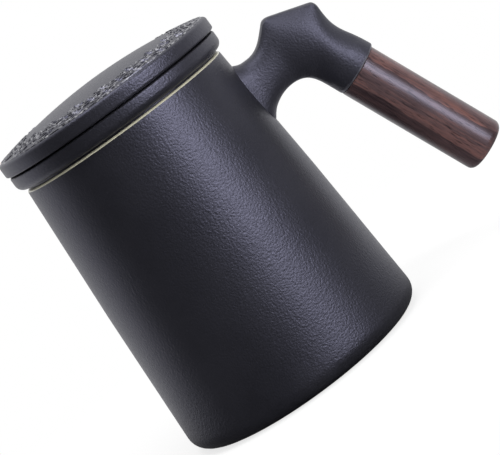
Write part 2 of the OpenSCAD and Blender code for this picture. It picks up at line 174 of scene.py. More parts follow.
class MugColours(bpy.types.PropertyGroup):
    glaze: colour("Black glaze", "Matt black glaze", "#19191b")
    glaze_sheen: colour("Glaze sheen", "Tint of the light the black glaze throws back", "#dadaff")
    # grey of the lid's raised lines: glaze rubbed thin, and painted glints standing in for their
    # highlights
    wear_and_painted_glint: colour("Worn relief", "Glaze rubbed thin on the raised lines", "#a8a8aa")
    # greys of the collar's edge: glaze broken thin, and a painted glint along that edge
    thin_glaze_and_glint_dark: colour("Thin glaze, dark", "Thicker spots of the glaze on an edge", "#2b2b2e")
    thin_glaze_and_glint_light: colour("Thin glaze, light", "Thinnest spots of the glaze on an edge", "#4a4a4f")
    cream: colour("Cream glaze", "Glaze inside the cup and on its lip", "#aeab98")
    iron: colour("Iron specks", "Iron specks in the cream glaze", "#8a6b48")
    clay: colour("Bare clay", "Unglazed stoneware on the foot and the seats", "#8d7f70")
    # the walnut's colours are greyer and paler than the bare wood's: they carry a painted sheen over
    # the wood's own bands
    walnut_dark_and_painted_sheen: colour("Dark walnut", "Dark bands of the walnut", "#2a1f20")
    walnut_mid_and_painted_sheen: colour("Walnut", "Body of the walnut", "#443434")
    walnut_light_and_painted_sheen: colour("Light walnut", "Light bands of the walnut", "#664640")
    wood_sheen: colour("Wood sheen", "Tint of the light the oiled wood throws back", "#e2e2ff")
    steel: colour("Steel", "Stainless steel of the screw and washer", "#b9bbbe")
    brass: colour("Brass", "Brass of the threaded sleeve", "#c9a765")
    resin: colour("Resin", "Cured epoxy resin", "#b08f4e")
    floor: colour("Floor", "Studio floor", "#f2f2f2")


# ---------------- making shapes

def smooth(mesh):
    """Smooth shading, with sharp edges where faces meet at more than 34 degrees."""
    mesh.shade_smooth()
    mesh.set_sharp_from_angle(angle=math.radians(34))


def new_mesh(bm, name):
    mesh = bpy.data.meshes.new(name)
    bm.to_mesh(mesh)
    bm.free()
    return mesh


def new_object(bm, name):
    made = bpy.data.objects.new(name, new_mesh(bm, name))
    bpy.context.scene.collection.objects.link(made)
    return made


def finish_piece(bm, name, materials, body, slot, *replaces):
    """Writes the mesh, shades it and puts the piece on its body."""
    piece = new_object(bm, name)
    for material in materials:
        piece.data.materials.append(material)
    smooth(piece.data)
    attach(piece, body)
    if replaces:
        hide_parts(*replaces)
    return piece


def round_corner(bm, vert, radius):
    """Rounds one corner of an outline to a true radius."""
    a, b = [(e.other_vert(vert).co - vert.co).normalized() for e in vert.link_edges]
    half = a.angle(b) / 2
    bmesh.ops.bevel(bm, geom=[vert], offset=radius / math.tan(half), offset_type="OFFSET",
                    affect="VERTICES", segments=8, profile=0.5, material=-1)


def outline(bm, corners, first=None):
    """An outline in the XZ plane, from corners of (radius, height, rounding).

    It stays open where both ends lie on the axis, or where it carries on another line from
    its vertex first.
    """
    verts = [first] if first else []
    verts += [bm.verts.new((x, 0, z)) for x, z, _ in corners[len(verts):]]
    for a, b in zip(verts, verts[1:]):
        bm.edges.new((a, b))
    if not first and (corners[0][0] > 0 or corners[-1][0] > 0):
        bm.edges.new((verts[-1], verts[0]))
    for vert, (_, _, rounding) in zip(verts, corners):
        if rounding > 0:
            round_corner(bm, vert, rounding)


def closed_line(bm, points):
    """Vertices at the points, and the edges that join them into a loop."""
    verts = [bm.verts.new(point) for point in points]
    return verts, [bm.edges.new(pair) for pair in zip(verts, verts[1:] + verts[:1])]


def turn(bm, steps=128, spacing=2.5 * MM):
    """Turns the outline round the Z axis into a closed skin. No edge is much longer than spacing."""
    for edge in [e for e in bm.edges if e.calc_length() > spacing]:
        bmesh.ops.subdivide_edges(bm, edges=[edge], cuts=int(edge.calc_length() / spacing))
    bmesh.ops.spin(bm, geom=bm.verts[:] + bm.edges[:], cent=(0, 0, 0), axis=(0, 0, 1),
                   angle=2 * math.pi, steps=steps, use_merge=True)
    bmesh.ops.remove_doubles(bm, verts=bm.verts[:], dist=1e-6)
    bmesh.ops.dissolve_degenerate(bm, edges=bm.edges[:], dist=1e-7)
    bmesh.ops.recalc_face_normals(bm, faces=bm.faces[:])


def turned(corners, steps=128, spacing=2.5 * MM):
    """A piece turned round the Z axis from its rounded outline."""
    bm = bmesh.new()
    outline(bm, corners)
    turn(bm, steps, spacing)
    return bm


def paint(bm, test, index):
    """Gives faces another material. The test gets a face's radius, height and outward lean."""
    for face in bm.faces:
        centre = face.calc_center_median()
        radius = math.hypot(centre.x, centre.y)
        if test(radius, centre.z, face.normal.xy.dot(centre.xy) / max(radius, MM / 1000)):
            face.material_index = index


def wall_lean(mid, low_radius, low_height, rounding):
    """Outward lean of a wall from mid down to a rounding that touches low_radius."""
    dx, dz = mid[0] - (low_radius - rounding), mid[1] - (low_height + rounding)
    return math.asin(rounding / math.hypot(dx, dz)) - math.atan2(dx, dz)


def foot_corner(mid, low_radius, low_height, rounding):
    """Where that wall's line meets the floor's, as a corner with its rounding."""
    lean = wall_lean(mid, low_radius, low_height, rounding)
    return mid[0] + (mid[1] - low_height) * math.tan(lean), low_height, rounding


def wall_radius(height):
    """Outer radius of the cup's wall above its bend."""
    cup = bpy.context.scene.mug_cup
    share = (height - cup.mid_height) / (cup_high.z - cup.mid_height)
    return (cup.mid_diameter + (cup.lip_diameter - cup.mid_diameter) * share) / 2


def arm_root(sizes):
    """The point where the arm's top meets the cup's wall."""
    height = cup_high.z - sizes.arm_drop
    return Vector((wall_radius(height), 0, height))


def joint_point(sizes):
    """The point on the grip's axis where the grip meets the collar."""
    return arm_root(sizes) + Vector((sizes.joint_out, 0, -sizes.joint_drop))


def grip_place(sizes):
    """Matrix that puts the grip's own axis, +Z from the joint to its end, in its place."""
    lean = Euler((0, math.pi - sizes.grip_lean, 0))
    return Matrix.Translation(joint_point(sizes)) @ lean.to_matrix().to_4x4()


# ---------------- materials

class Nodes:
    """The shader nodes of a material or a world."""

    def __init__(self, owner, shader, place):
        owner.use_nodes = True
        self.owner, self.tree = owner, owner.node_tree
        self.shader = self.tree.nodes[shader]
        self.place = self.add("ShaderNodeTexCoord").outputs[place]

    def add(self, kind, settings=None, stops=None, **inputs):
        """A node with its settings and links. The stops of a ramp are pairs of place and colour."""
        node = self.tree.nodes.new(kind)
        for key, value in (settings or {}).items():
            setattr(node, key, value)
        if stops:
            ramp = node.color_ramp.elements
            while len(ramp) < len(stops):
                ramp.new(0.5)
            for element, (position, shade) in zip(ramp, stops):
                element.position = position
                shades = shade if hasattr(shade, "__len__") else (shade, shade, shade)
                element.color = (*shades, 1)
        self.set(node, **inputs)
        return node

    def set(self, node, **inputs):
        """Links or sets inputs by name, or by i and number. A node stands for its first output."""
        for key, value in inputs.items():
            socket = node.inputs[int(key[1:]) if key[1:].isdigit() else key.replace("_", " ")]
            if isinstance(value, bpy.types.Node):
                value = value.outputs[0]
            if isinstance(value, bpy.types.NodeSocket):
                self.tree.links.new(value, socket)
            elif socket.type == "RGBA":
                socket.default_value = (*value, 1)
            else:
                socket.default_value = value

    def finish(self, **inputs):
        """Sets or links the shader's own inputs and gives back the material."""
        self.set(self.shader, **inputs)
        return self.owner


def new_material(name):
    """A new material's nodes, and the mug's colours."""
    nodes = Nodes(bpy.data.materials.new(name), "Principled BSDF", "Object")
    return nodes, bpy.context.scene.mug_colours


def shaded(tint, share):
    return [share * c for c in tint]


def orange_peel(nodes, depth):
    """Bump of a sprayed matt glaze that crawled a little in the kiln."""
    # hills of 0.8 mm over a finer skin of 0.5 mm, drawn coarser than the real 0.3 mm one
    hills = nodes.add("ShaderNodeTexVoronoi", {"feature": "SMOOTH_F1"}, Vector=nodes.place,
                      Scale=1 / (0.8 * MM), Smoothness=0.6)
    skin = nodes.add("ShaderNodeTexNoise", Vector=nodes.place, Scale=1 / (0.55 * MM), Detail=1.0,
                     Roughness=0.5)
    total = nodes.add("ShaderNodeMix", {"data_type": "FLOAT"}, i0=0.6, i2=hills, i3=skin)
    bump = nodes.add("ShaderNodeBump", Strength=1.0, Distance=depth, Height=total)
    return bump, skin


def black_glaze(name, tint, dull=0.0):
    """Sprayed matt black iron glaze: nearly black, a bluish grey sheen, fine orange peel."""
    nodes, colours = new_material(name)
    # slow change of glaze thickness over about 25 mm
    cloud = nodes.add("ShaderNodeTexNoise", Vector=nodes.place, Scale=1 / (25 * MM), Detail=3.0)
    thick, thin = shaded(colours.glaze, 0.85 * tint), shaded(colours.glaze, 1.25 * tint)
    shade = nodes.add("ShaderNodeValToRGB", stops=((0.3, thick), (0.7, thin)), Fac=cloud)
    bump, skin = orange_peel(nodes, 0.14 * MM)
    rough = nodes.add("ShaderNodeValToRGB", stops=((0.25, 0.38 + dull), (0.75, 0.48 + dull)),
                      Fac=skin)
    return nodes.finish(Base_Color=shade, Roughness=rough, Normal=bump,
                        Specular_Tint=colours.glaze_sheen, Specular_IOR_Level=0.9)


def thin_glaze_and_painted_glint():
    """Black glaze broken to grey where it ran off an edge; the grey also stands in for a painted
    glint there.
    """
    nodes, colours = new_material("glaze_broken_and_painted_glint_on_the_edge")
    # the break and the painted glint come and go over about 3 mm
    patch = nodes.add("ShaderNodeTexNoise", Vector=nodes.place, Scale=1 / (3 * MM), Detail=3.0)
    shade = nodes.add("ShaderNodeValToRGB", Fac=patch,
                      stops=((0.35, colours.thin_glaze_and_glint_dark), (0.65, colours.thin_glaze_and_glint_light)))
    return nodes.finish(Base_Color=shade, Roughness=0.45, Specular_Tint=colours.glaze_sheen,
                        Specular_IOR_Level=0.9)


def wear_and_painted_glint_glaze():
    """Black glaze rubbed thin on the raised lines, with painted glints: grey that comes and goes
    along a line.
    """
    nodes, colours = new_material("worn_black_glaze_with_painted_glints")
    # patches of wear and of painted glint, of about 1.6 mm
    patch = nodes.add("ShaderNodeTexNoise", Vector=nodes.place, Scale=1 / (1.6 * MM), Detail=3.0,
                      Roughness=0.7)
    shade = nodes.add("ShaderNodeValToRGB", Fac=patch,
                      stops=((0.47, colours.glaze), (0.74, colours.wear_and_painted_glint)))
    bump, _ = orange_peel(nodes, 0.05 * MM)
    return nodes.finish(Base_Color=shade, Roughness=0.34, Normal=bump,
                        Specular_Tint=colours.glaze_sheen, Specular_IOR_Level=0.9)


def cream_glaze():
    """Food-safe cream glaze: smooth, glossy, with faint warm specks of iron."""
    nodes, colours = new_material("cream_gloss_glaze")
    # soft clouds of about 9 mm, and iron specks about 0.8 mm across, far apart
    cloud = nodes.add("ShaderNodeTexNoise", Vector=nodes.place, Scale=1 / (9 * MM), Detail=3.0)
    base = nodes.add("ShaderNodeValToRGB", Fac=cloud,
                     stops=((0.3, shaded(colours.cream, 0.93)), (0.7, colours.cream)))
    specks = nodes.add("ShaderNodeTexNoise", Vector=nodes.place, Scale=1 / (1.1 * MM), Detail=1.0)
    dark = nodes.add("ShaderNodeValToRGB", stops=((0.74, 0.0), (0.8, 0.55)), Fac=specks)
    mixed = nodes.add("ShaderNodeMix", {"data_type": "RGBA"}, i0=dark, i6=base, i7=colours.iron)
    bump = nodes.add("ShaderNodeBump", Strength=0.6, Distance=0.05 * MM, Height=cloud)
    return nodes.finish(Base_Color=mixed.outputs[2], Roughness=0.22, Normal=bump)


def bare_clay():
    """Fired stoneware wiped free of glaze: dry, sandy and dull, with dark grog."""
    nodes, colours = new_material("bare_stoneware")
    # sand and grog, grains of about 0.4 mm
    grog = nodes.add("ShaderNodeTexNoise", Vector=nodes.place, Scale=1 / (0.8 * MM), Detail=4.0,
                     Roughness=0.7)
    shade = nodes.add("ShaderNodeValToRGB", Fac=grog,
                      stops=((0.32, shaded(colours.clay, 0.45)), (0.5, colours.clay),
                             (0.75, shaded(colours.clay, 1.2))))
    bump = nodes.add("ShaderNodeBump", Strength=0.8, Distance=0.12 * MM, Height=grog)
    return nodes.finish(Base_Color=shade, Roughness=0.9, Normal=bump)


def walnut(name, sizes, turn_to_end):
    """Oiled walnut, turned and sanded: dark and red-brown bands under a painted sheen, fine open
    pores, a soft shine.
    """
    nodes, colours = new_material(name)
    matrix = grip_place(sizes).inverted()
    own = nodes.add("ShaderNodeMapping", Vector=nodes.place, Location=matrix.translation,
                    Rotation=matrix.to_euler())
    if turn_to_end:
        # the plug is cut across the plank, so its grain lies along its face
        own = nodes.add("ShaderNodeMapping", Vector=own,
                        Rotation=(math.radians(90), 0, math.radians(25)))
    # growth rings 9 mm apart round a heart far to the cup's side, leaning a little against the grip;
    # each goes from pale early wood to dark late wood and ends in a sharp line
    slow = nodes.add("ShaderNodeMapping", Vector=own, Scale=(1, 1, 0.35))
    sway = nodes.add("ShaderNodeTexNoise", Vector=slow, Scale=1 / (9 * MM), Detail=3.0,
                     Roughness=0.5)
    bent = nodes.add("ShaderNodeVectorMath", {"operation": "MULTIPLY_ADD"}, i0=sway.outputs["Color"],
                     i1=(5 * MM, 5 * MM, 0), i2=own)
    heart = nodes.add("ShaderNodeMapping", Vector=bent, Scale=(1, 1, 0.05),
                      Location=(-42.6 * MM, 0, 0))
    rings = nodes.add("ShaderNodeTexWave", {"wave_type": "RINGS", "rings_direction": "Z",
                                            "wave_profile": "SAW"}, Vector=heart,
                      Scale=2 * math.pi / (20 * 9 * MM), Distortion=0.0)
    # fibres about 0.5 mm wide and 14 mm long
    drawn = nodes.add("ShaderNodeMapping", Vector=own, Scale=(1, 1, 0.035))
    fibres = nodes.add("ShaderNodeTexNoise", Vector=drawn, Scale=1 / (0.55 * MM), Detail=3.0,
                       Roughness=0.65)
    grain = nodes.add("ShaderNodeMix", {"data_type": "FLOAT"}, i0=0.68, i2=rings.outputs["Fac"],
                      i3=fibres)
    # broad cloudy figure over the rings
    figure = nodes.add("ShaderNodeMath", {"operation": "MULTIPLY_ADD"}, i0=sway, i1=0.7, i2=-0.35)
    tone = nodes.add("ShaderNodeMath", {"operation": "ADD"}, i0=grain, i1=figure)
    # the wood's bands, in colours that also carry a painted sheen
    wood = nodes.add("ShaderNodeValToRGB", Fac=tone,
                     stops=((0.2, colours.walnut_light_and_painted_sheen), (0.48, colours.walnut_mid_and_painted_sheen),
                            (0.76, colours.walnut_dark_and_painted_sheen)))
    # open pores, drawn about 0.3 mm wide and 3 mm long, since the real 0.15 mm ones would not show;
    # they are widest in the early wood
    thread = nodes.add("ShaderNodeMapping", Vector=own, Scale=(1, 1, 0.09))
    pores = nodes.add("ShaderNodeTexNoise", Vector=thread, Scale=1 / (0.28 * MM), Detail=1.0)
    early = nodes.add("ShaderNodeValToRGB", stops=((0.0, 0.45), (0.6, 0.39)),
                      Fac=rings.outputs["Fac"])
    holes = nodes.add("ShaderNodeMapRange", Value=pores, From_Min=early, From_Max=0.33, To_Max=0.7)
    shown = nodes.add("ShaderNodeMix", {"data_type": "RGBA"}, i0=holes, i6=wood,
                      i7=shaded(colours.walnut_dark_and_painted_sheen, 0.35))
    bump = nodes.add("ShaderNodeBump", {"invert": True}, Strength=0.5, Distance=0.02 * MM,
                     Height=holes)
    rough = nodes.add("ShaderNodeValToRGB", stops=((0.3, 0.26), (0.7, 0.34)), Fac=fibres)
    return nodes.finish(Base_Color=shown.outputs[2], Roughness=rough, Normal=bump,
                        Specular_Tint=colours.wood_sheen, Specular_IOR_Level=0.6)


def turned_metal(name, tint, roughness):
    """Turned metal: fine tool rings that break up the shine."""
    nodes, _ = new_material(name)
    # tool marks, drawn 0.35 mm apart, since real ones of 0.1 mm would not show
    marks = nodes.add("ShaderNodeTexNoise", Vector=nodes.place, Scale=1 / (0.35 * MM), Detail=2.0)
    shade = nodes.add("ShaderNodeValToRGB", stops=((0.3, shaded(tint, 0.85)), (0.7, tint)),
                      Fac=marks)
    rough = nodes.add("ShaderNodeValToRGB", stops=((0.3, roughness), (0.7, roughness + 0.12)),
                      Fac=marks)
    bump = nodes.add("ShaderNodeBump", Strength=0.4, Distance=0.02 * MM, Height=marks)
    return nodes.finish(Base_Color=shade, Metallic=1.0, Roughness=rough, Normal=bump)


def cured_resin():
    """Cured epoxy: amber, glossy, with small bubbles."""
    nodes, colours = new_material("cured_epoxy_resin")
    # bubbles about 1.2 mm apart
    bubbles = nodes.add("ShaderNodeTexVoronoi", Vector=nodes.place, Scale=1 / (1.2 * MM))
    shade = nodes.add("ShaderNodeValToRGB", Fac=bubbles,
                      stops=((0.05, shaded(colours.resin, 1.4)), (0.2, colours.resin)))
    bump = nodes.add("ShaderNodeBump", Strength=0.5, Distance=0.05 * MM, Height=bubbles)
    return nodes.finish(Base_Color=shade, Roughness=0.18, Normal=bump)


# ---------------- pieces

class MUG_OT_cup(bpy.types.Operator):
    """Slip-cast cup with a black outside, a cream inside and lip, and a bare foot ring"""
    bl_idname = "tea_mug.cup"
    bl_label = "Cup"

    def execute(self, context):
        s = context.scene.mug_cup
        foot, top = cup_high.y, cup_high.z
        mid, lip = s.mid_diameter / 2, s.lip_diameter / 2
        recess = s.recess_diameter / 2
        bm = turned([
            (0, s.recess_depth, 0), (recess, s.recess_depth, 0.8 * MM), (recess, 0, 0.5 * MM),
            foot_corner((mid, s.mid_height), foot, 0, s.foot_round), (mid, s.mid_height, 0),
            (lip, top, s.lip_round), (lip - s.wall, top, s.lip_round),
            (mid - s.wall, s.mid_height, 0),
            foot_corner((mid - s.wall, s.mid_height), foot - s.wall, s.floor, s.inner_round),
            (0, s.floor, 0)], steps=160)
        # the black glaze ends just under the lip; the cream one covers the lip and the inside
        glaze_end = top - 0.62 * MM
        paint(bm, lambda r, z, lean: z > glaze_end or (z > s.floor - 0.1 * MM and lean < 0.5), 1)
        paint(bm, lambda r, z, lean: z < 0.05 * MM and r > recess, 2)
        glaze = black_glaze("matt_black_glaze", 1.0)
        finish_piece(bm, "cup_shell", [glaze, cream_glaze(), bare_clay()], "cup", "cup_glaze",
                     "mug_body")
        return {"FINISHED"}


class MUG_OT_elbow(bpy.types.Operator):
    """Ceramic elbow: a low arm, a raised peak and a round collar, luted on with a small fillet"""
    bl_idname = "tea_mug.elbow"
    bl_label = "Ceramic elbow"

    def execute(self, context):
        s = context.scene.mug_handle
        root = arm_root(s)

        def at(out, up):
            return root + Vector((out, 0, up))

        def towards(slope):
            """Outwards and upwards at a slope."""
            return Vector((math.cos(slope), 0, math.sin(slope)))

        up, right = Vector((0, 0, 1)), Vector((1, 0, 0))
        along, across = towards(s.grip_lean - math.pi / 2), towards(s.grip_lean)
        collar = s.collar_diameter / 2
        middle = joint_point(s) + s.collar_set * across
        out_end = middle + collar * across - s.collar_round * along
        in_end = middle - collar * across - s.collar_round * along
        throat = in_end - s.collar_height * along
        peak, brow = at(s.peak_out, s.peak_up), at(s.brow_out, s.brow_up)
        waist, arch = at(s.waist_out, -s.waist_drop), at(s.arch_out, -s.arm_height)
        arm, low = at(s.arm_flat, 0), at(0.3 * MM, -s.arm_root_height)
        slope = (brow - peak).normalized()
        flank, down = towards(s.flank_angle), towards(-s.waist_angle)
        shelf = towards(math.radians(45))
        # where the rounded corners of the peak and the brow start and end
        peak_in, peak_out = peak - 1.6 * MM * flank, peak + 2.5 * MM * slope
        brow_in, brow_out = brow - 1.8 * MM * slope, brow - 2.4 * MM * up
        # how far each curve runs on in its direction at both ends
        arm_pull, flank_pull, brow_pull, collar_pull = 4.5 * MM, 5.6 * MM, 5 * MM, 2.6 * MM
        waist_pull_up, waist_pull_down = 5.1 * MM, 2.5 * MM
        root_pull, arch_pull_in, arch_pull_out, throat_pull = 5.8 * MM, 4.2 * MM, 5.3 * MM, 4.9 * MM

        def curve(start, leave, end, arrive, count):
            """Points from start to end along a curve, without its end."""
            return interpolate_bezier(start, start + leave, end - arrive, end, count + 1)[:-1]

        def soft(start, corner, end, count):
            return curve(start, (corner - start) * 2 / 3, end, (end - corner) * 2 / 3, count)

        def straight(start, end, count):
            return curve(start, (end - start) / 3, end, (end - start) / 3, count)

        # both lines start inside the cup's wall
        sunk = 3 * MM
        outer = [at(-sunk, 0)] + curve(at(-MM, 0), 2 * MM * right, arm, arm - at(3 * MM, 0), 8)
        outer += curve(arm, arm_pull * right, peak_in, flank_pull * flank, 16)
        outer += soft(peak_in, peak, peak_out, 8) + straight(peak_out, brow_in, 8)
        outer += soft(brow_in, brow, brow_out, 8)
        outer += curve(brow_out, -brow_pull * up, waist, waist_pull_up * down, 16)
        outer += curve(waist, waist_pull_down * down, out_end, collar_pull * along, 10) + [out_end]
        inner = [at(-sunk, -s.arm_root_height - 1.3 * MM), low - 0.6 * MM * shelf]
        inner += curve(low, root_pull * shelf, arch, arch_pull_in * right, 16)
        inner += curve(arch, arch_pull_out * right, throat, throat_pull * along,
                       len(outer) - len(inner) - 11)
        inner += straight(throat, in_end, 10) + [in_end]

        def ease(a, b, t):
            t = min(1, max(0, t))
            return a + (b - a) * (1 - math.cos(math.pi * t)) / 2

        # shares of the way along the elbow: the end of the arm and the peak
        arm_end, peak_share = 0.28, 0.6

        def half_depth(share):
            if share < peak_share:
                return ease(s.arm_depth, s.peak_depth,
                            (share - arm_end) / (peak_share - arm_end)) / 2
            return ease(s.peak_depth, s.collar_diameter,
                        (share - peak_share) / (1 - peak_share)) / 2

        bm = bmesh.new()
        sides = 64
        rings = []

        def ring(a, b, half, fullness):
            """One section between an outer and an inner point: an ellipse at 1, boxier below it."""
            made = bmesh.ops.create_circle(bm, cap_ends=False, radius=1, segments=sides)["verts"]
            centre, reach = (a + b) / 2, (a - b) / 2
            for v in made:
                x, y = [math.copysign(abs(c) ** fullness, c) for c in v.co.xy]
                v.co = centre + reach * x + Vector((0, half * y, 0))
            rings.append(list({e for v in made for e in v.link_edges}))

        # the section is boxy in the arm and turns into the collar's circle
        boxy = 0.64
        for i, (a, b) in enumerate(zip(outer, inner)):
            share = i / (len(outer) - 1)
            flare = s.flare * max(0, 1 - ((a.x + b.x) / 2 - root.x) / s.flare_length) ** 2
            ring(a, b, half_depth(share) + flare, ease(boxy, 1, (share - 0.3) / 0.5))
        for turned_in in (0.35, 0.75, 1.0):
            drop = s.collar_round * math.sin(math.pi / 2 * turned_in)
            back = s.collar_round * (1 - math.cos(math.pi / 2 * turned_in))
            ring(out_end - back * across + drop * along, in_end + back * across + drop * along,
                 collar - back, 1)
        for a, b in zip(rings, rings[1:]):
            bmesh.ops.bridge_loops(bm, edges=a + b)
        # the flanks are rubbed smooth by hand, so the outline's corners fade out towards them;
        # the root and the collar keep their form
        flanks = [v for v in bm.verts if abs(v.co.y) > 0.28 * s.arm_depth and
                  v.co.x > root.x + 2 * MM and (v.co - middle).dot(along) < -5 * MM]
        rounds = 150
        for _ in range(rounds):
            bmesh.ops.smooth_vert(bm, verts=flanks, factor=0.5, use_axis_x=True, use_axis_z=True)
        # fillet where the arm runs into the cup's wall, fuller above and below than at the sides
        fullest, sideways = 0.35 * s.fillet, 0.4
        for v in bm.verts:
            gap = math.hypot(v.co.x, v.co.y) - wall_radius(v.co.z)
            if gap < s.fillet and v.co.x < root.x + 8 * MM:
                swell = fullest * (1 - max(0, gap) / s.fillet) ** 2
                rise = (v.co.z - root.z) / s.arm_root_height + 0.5
                away = Vector((0, v.co.y / s.arm_depth, rise)).normalized()
                v.co += Vector((0, sideways * away.y, away.z)) * swell
        bmesh.ops.holes_fill(bm, edges=bm.edges[:], sides=sides)
        bmesh.ops.recalc_face_normals(bm, faces=bm.faces[:])
        # the glaze runs thin over the collar's edge and shows the grey body under it, and that grey
        # also stands in for a painted glint along the edge; the large face that the grip covers
        # keeps its glaze
        edge_middle, half_edge, largest = 0.35 * MM, 0.5 * MM, 2 * MM ** 2
        for face in bm.faces:
            seat = face.calc_center_median() - middle
            if abs(seat.dot(along) + edge_middle) < half_edge and face.calc_area() < largest:
                face.material_index = 1
        # the elbow's glaze is drawn 1.3 times lighter than the cup's, a painted sheen: a lit copy of
        # the same glaze
        finish_piece(bm, "elbow", [black_glaze("matt_black_glaze_elbow", 1.3, 0.08), thin_glaze_and_painted_glint()],
                     "cup", "elbow_glaze", "handle_elbow")
        return {"FINISHED"}


class MUG_OT_infuser(bpy.types.Operator):
    """Ceramic strainer basket with a thick flange that rests on the cup's lip"""
    bl_idname = "tea_mug.infuser"
    bl_label = "Infuser"

    def execute(self, context):
        s = context.scene.mug_infuser
        cup = context.scene.mug_cup
        lip_z, low_z, top_z = cup_high.z, infuser_low.z, infuser_high.z
        lip = cup.lip_diameter / 2
        neck = lip - cup.wall - s.neck_gap
        mouth = neck - s.wall
        seat = lip - s.seat_inset
        flange, flange_z = infuser_high.y, lip_z + s.flange_lift
        neck_z = lip_z - s.neck_height
        low = s.low_diameter / 2
        bm = turned([
            (0, low_z, 0), foot_corner((neck, neck_z), low, low_z, s.low_round), (neck, neck_z, 0),
            (neck, lip_z, 0.3 * MM), (seat, lip_z, 0.2 * MM), (seat, flange_z, 0.2 * MM),
            (flange, flange_z, s.flange_low_round), (flange, top_z, s.flange_top_round),
            (mouth, top_z, 0.6 * MM), (mouth, neck_z, 0),
            foot_corner((mouth, neck_z), low - s.wall, low_z + s.wall, s.inner_round),
            (0, low_z + s.wall, 0)], steps=140, spacing=3 * MM)
        paint(bm, lambda r, z, lean: abs(z - lip_z) < 0.02 * MM and
              neck + 0.2 * MM < r < seat - 0.1 * MM, 1)
        glaze = black_glaze("matt_black_glaze_infuser", 1.0)
        basket = finish_piece(bm, "strainer_basket", [glaze, bare_clay()], "infuser",
                              "infuser_glaze", "infuser")

        # every hole is drilled with a bit that also breaks both edges
        radius, cone, over = s.hole_diameter / 2, 0.35 * MM, 2 * MM
        wide = radius + 2 * cone
        bit = turned([(0, -over, 0), (wide, -over, 0), (wide, -cone, 0), (radius, cone, 0),
                      (radius, s.wall - cone, 0), (wide, s.wall + cone, 0), (wide, s.wall + over, 0),
                      (0, s.wall + over, 0)], steps=20, spacing=1)
        bit_mesh = new_mesh(bit, "bit")
        bm = bmesh.new()

        def drill(place):
            """A copy of the bit. Its Z runs outwards from the wall's inner face."""
            before = len(bm.verts)
            bm.from_mesh(bit_mesh)
            bm.verts.ensure_lookup_table()
            bmesh.ops.transform(bm, matrix=place, verts=bm.verts[before:])

        lean = wall_lean((neck, neck_z), low, low_z, s.low_round)
        for row in range(s.hole_rows):
            height = low_z + s.row_start + row * s.row_pitch
            inside = neck + (neck_z - height) * math.tan(lean) - s.wall
            for i in range(s.hole_count):
                turn_to = Matrix.Rotation(2 * math.pi * (i + row / 2) / s.hole_count, 4, "Z")
                drill(turn_to @ Matrix.Translation((inside, 0, height)) @
                      Matrix.Rotation(math.pi / 2, 4, "Y"))
        # the floor has a hole in the middle and two rings of holes round it
        for ring, count in enumerate((1, 6, 12)):
            for i in range(count):
                turn_to = Matrix.Rotation(2 * math.pi * i / count, 4, "Z")
                drill(turn_to @ Matrix.Translation((ring * s.row_pitch, 0, low_z)))
        bits = new_object(bm, "drill_bits")
        cut = basket.modifiers.new("strainer_holes", "BOOLEAN")
        cut.object = bits
        cut.solver = "EXACT"
        context.view_layer.update()
        made = basket.evaluated_get(context.evaluated_depsgraph_get())
        drilled = bpy.data.meshes.new_from_object(made)
        basket.modifiers.clear()
        basket.data = drilled
        bpy.data.objects.remove(bits)
        smooth(drilled)
        return {"FINISHED"}


